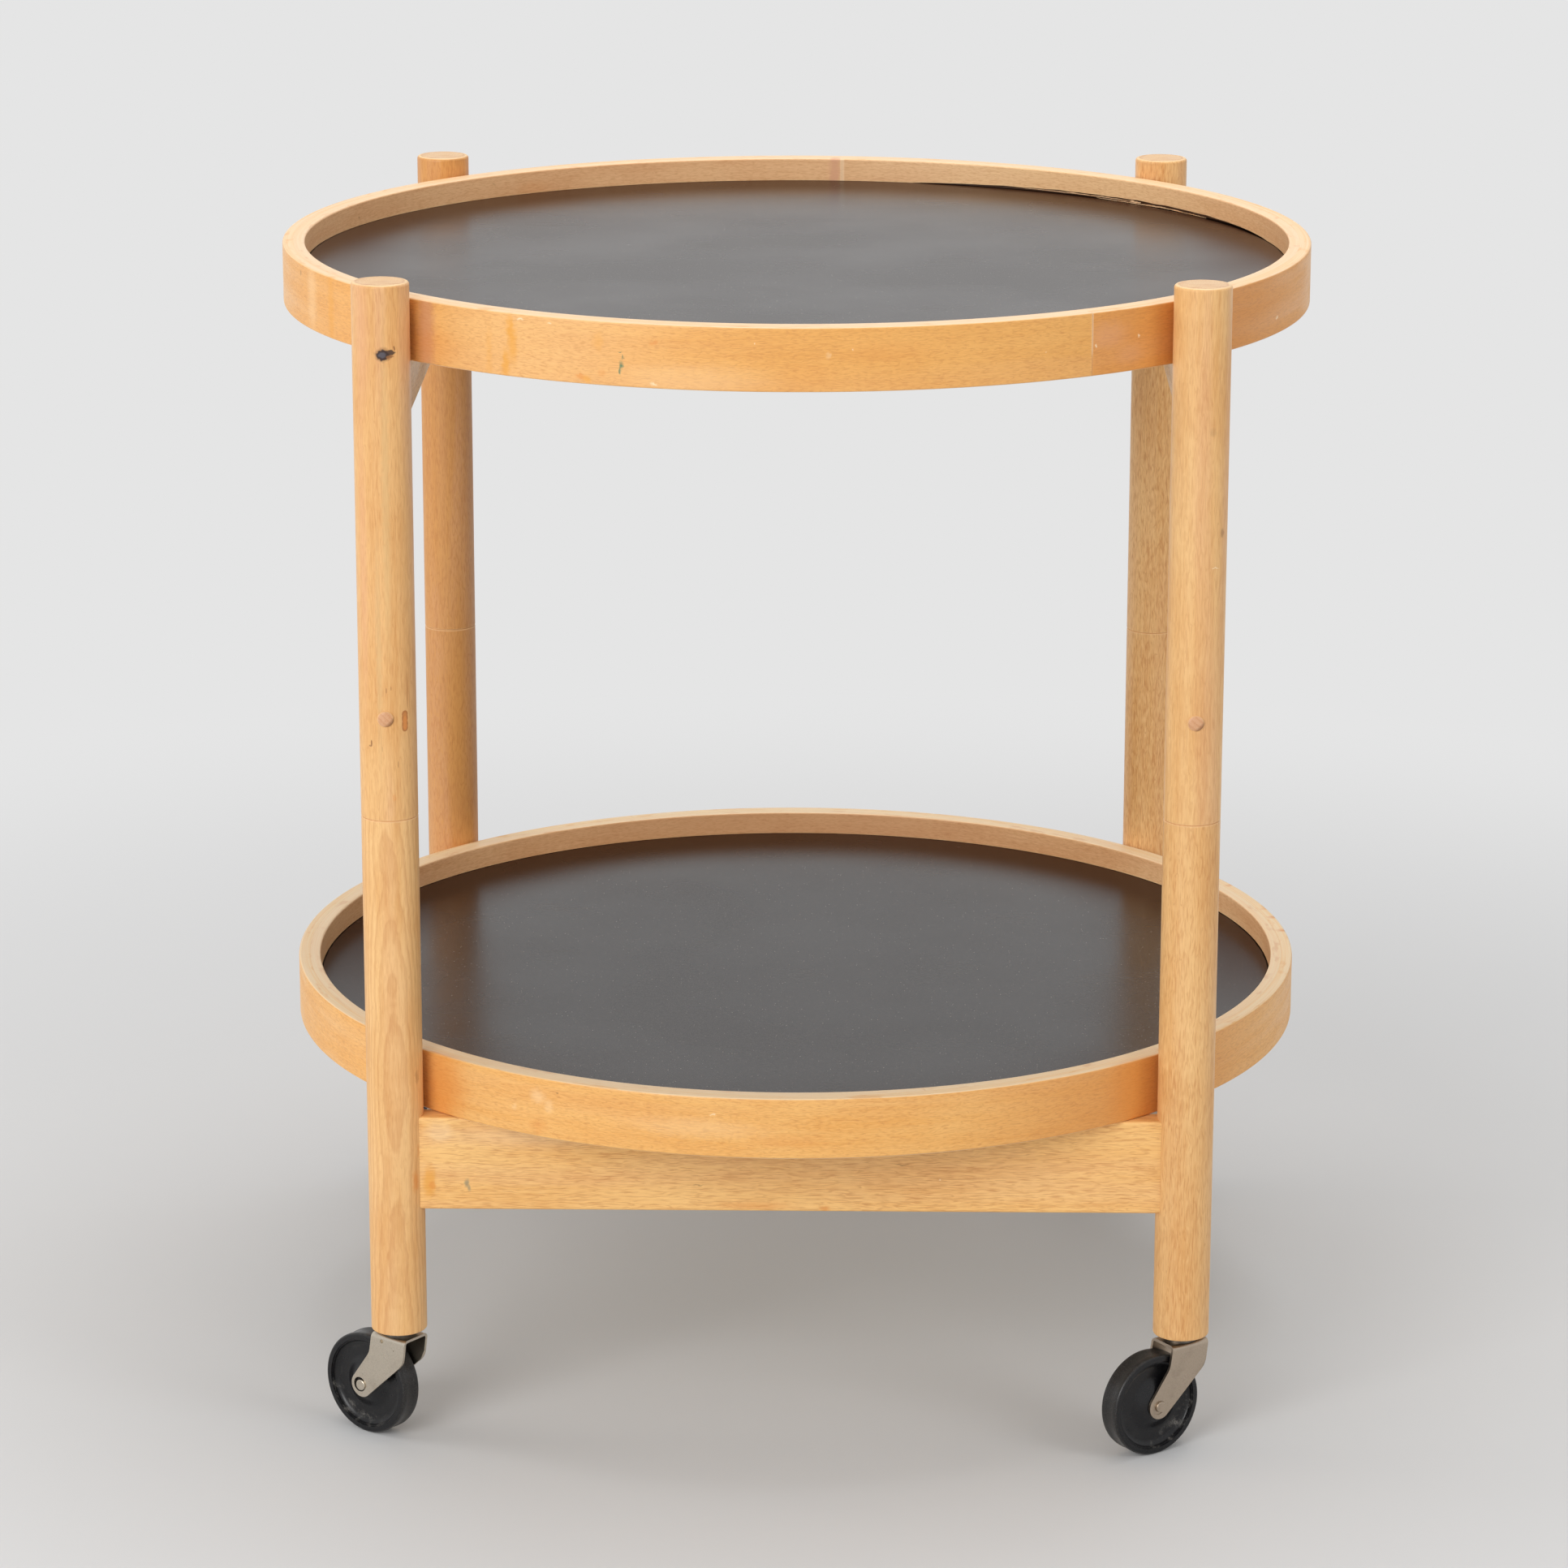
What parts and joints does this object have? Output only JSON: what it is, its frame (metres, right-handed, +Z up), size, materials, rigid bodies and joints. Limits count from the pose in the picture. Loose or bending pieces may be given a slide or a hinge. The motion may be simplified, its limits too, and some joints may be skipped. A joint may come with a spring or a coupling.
{
  "type": "serving trolley",
  "caption": "Round-tray serving trolley: two lift-off laminated trays held between round beech legs of a folding frame, on swivel casters.",
  "frame": {"origin": "on the floor, below the common centre of both trays", "axes": "+Z up, +X to the trolley's right seen from its front, +Y from its front to its rear"},
  "size_m": [0.6, 0.6, 0.6763],
  "materials": {
    "leg_upper": "oiled satin",
    "leg_lower": "oiled satin",
    "rail": "oiled satin",
    "hoop_outer": "lacquered satin",
    "hoop_inner": "lacquered satin",
    "dowel": "raw",
    "peg": "oiled satin",
    "core_board": "raw",
    "dark_laminate": "satin, lightly scratched",
    "pale_laminate": "satin",
    "nickel_steel": "worn satin nickel",
    "zinc_steel": "dull zinc",
    "wheel": "worn matte"
  },
  "bodies": {
    "front_frame": {"front_rail": "rail", "front_rail_dowels": "dowel", "lower_leg_front_left": "leg_lower", "pivot_dowel_front_left": "dowel", "caster_socket_front_left": "zinc_steel", "lower_leg_front_right": "leg_lower", "pivot_dowel_front_right": "dowel", "caster_socket_front_right": "zinc_steel"},
    "left_frame": {"left_rail": "rail", "left_rail_dowels": "dowel", "upper_leg_front_left": "leg_upper", "pivot_peg_front_left": "peg", "upper_leg_rear_left": "leg_upper", "pivot_peg_rear_left": "peg"},
    "right_frame": {"right_rail": "rail", "right_rail_dowels": "dowel", "upper_leg_front_right": "leg_upper", "pivot_peg_front_right": "peg", "upper_leg_rear_right": "leg_upper", "pivot_peg_rear_right": "peg"},
    "rear_frame": {"rear_rail": "rail", "rear_rail_dowels": "dowel", "lower_leg_rear_left": "leg_lower", "pivot_dowel_rear_left": "dowel", "caster_socket_rear_left": "zinc_steel", "lower_leg_rear_right": "leg_lower", "pivot_dowel_rear_right": "dowel", "caster_socket_rear_right": "zinc_steel"},
    "top_tray": {"top_tray_outer_hoop": "hoop_outer", "top_tray_inner_hoop": "hoop_inner", "top_tray_core_board": "core_board", "top_tray_dark_laminate": "dark_laminate", "top_tray_pale_laminate": "pale_laminate"},
    "lower_tray": {"lower_tray_outer_hoop": "hoop_outer", "lower_tray_inner_hoop": "hoop_inner", "lower_tray_core_board": "core_board", "lower_tray_dark_laminate": "dark_laminate", "lower_tray_pale_laminate": "pale_laminate"},
    "caster_front_left": {"caster_stem_front_left": "zinc_steel", "caster_race_front_left": "zinc_steel", "caster_fork_front_left": "nickel_steel", "caster_axle_front_left": "nickel_steel"},
    "wheel_front_left": {"caster_wheel_front_left": "wheel"},
    "caster_front_right": {"caster_stem_front_right": "zinc_steel", "caster_race_front_right": "zinc_steel", "caster_fork_front_right": "nickel_steel", "caster_axle_front_right": "nickel_steel"},
    "wheel_front_right": {"caster_wheel_front_right": "wheel"},
    "caster_rear_left": {"caster_stem_rear_left": "zinc_steel", "caster_race_rear_left": "zinc_steel", "caster_fork_rear_left": "nickel_steel", "caster_axle_rear_left": "nickel_steel"},
    "wheel_rear_left": {"caster_wheel_rear_left": "wheel"},
    "caster_rear_right": {"caster_stem_rear_right": "zinc_steel", "caster_race_rear_right": "zinc_steel", "caster_fork_rear_right": "nickel_steel", "caster_axle_rear_right": "nickel_steel"},
    "wheel_rear_right": {"caster_wheel_rear_right": "wheel"}
  },
  "joints": [
    {"name": "left_frame_fold", "type": "hinge", "parent": "front_frame", "child": "left_frame", "pos_m": [-0.22451, -0.22451, 0.374], "axis": [0, 0, 1], "range_deg": [-0.2, 0.2]},
    {"name": "right_frame_fold", "type": "hinge", "parent": "front_frame", "child": "right_frame", "pos_m": [0.22451, -0.22451, 0.374], "axis": [0, 0, 1], "range_deg": [-0.2, 0.2]},
    {"name": "rear_frame_fold", "type": "hinge", "parent": "left_frame", "child": "rear_frame", "pos_m": [-0.22451, 0.22451, 0.374], "axis": [0, 0, 1], "range_deg": [-0.2, 0.2]},
    {"name": "top_tray_lift", "type": "slide", "parent": "front_frame", "child": "top_tray", "axis": [0, 0, 1], "range_m": [0, 0.3]},
    {"name": "lower_tray_lift", "type": "slide", "parent": "front_frame", "child": "lower_tray", "axis": [0, 0, 1], "range_m": [0, 0.35]},
    {"name": "swivel_front_left", "type": "hinge", "parent": "front_frame", "child": "caster_front_left", "pos_m": [-0.22451, -0.22451, 0.068], "axis": [0, 0, 1], "continuous": true},
    {"name": "wheel_spin_front_left", "type": "hinge", "parent": "caster_front_left", "child": "wheel_front_left", "pos_m": [-0.24168, -0.21157, 0.03], "axis": [-0.6018, -0.7986, 0], "continuous": true},
    {"name": "swivel_front_right", "type": "hinge", "parent": "front_frame", "child": "caster_front_right", "pos_m": [0.22451, -0.22451, 0.068], "axis": [0, 0, 1], "continuous": true},
    {"name": "wheel_spin_front_right", "type": "hinge", "parent": "caster_front_right", "child": "wheel_front_right", "pos_m": [0.20689, -0.23684, 0.03], "axis": [0.5736, -0.8192, 0], "continuous": true},
    {"name": "swivel_rear_left", "type": "hinge", "parent": "rear_frame", "child": "caster_rear_left", "pos_m": [-0.22451, 0.22451, 0.068], "axis": [0, 0, 1], "continuous": true},
    {"name": "wheel_spin_rear_left", "type": "hinge", "parent": "caster_rear_left", "child": "wheel_rear_left", "pos_m": [-0.24444, 0.23256, 0.03], "axis": [-0.3746, -0.9272, 0], "continuous": true},
    {"name": "swivel_rear_right", "type": "hinge", "parent": "rear_frame", "child": "caster_rear_right", "pos_m": [0.22451, 0.22451, 0.068], "axis": [0, 0, 1], "continuous": true},
    {"name": "wheel_spin_rear_right", "type": "hinge", "parent": "caster_rear_right", "child": "wheel_rear_right", "pos_m": [0.20443, 0.2168, 0.03], "axis": [0.3584, -0.9336, 0], "continuous": true}
  ],
  "couplings": [
    {"joint": "right_frame_fold", "follows": "left_frame_fold", "ratio": 1},
    {"joint": "rear_frame_fold", "follows": "left_frame_fold", "ratio": -1}
  ]
}
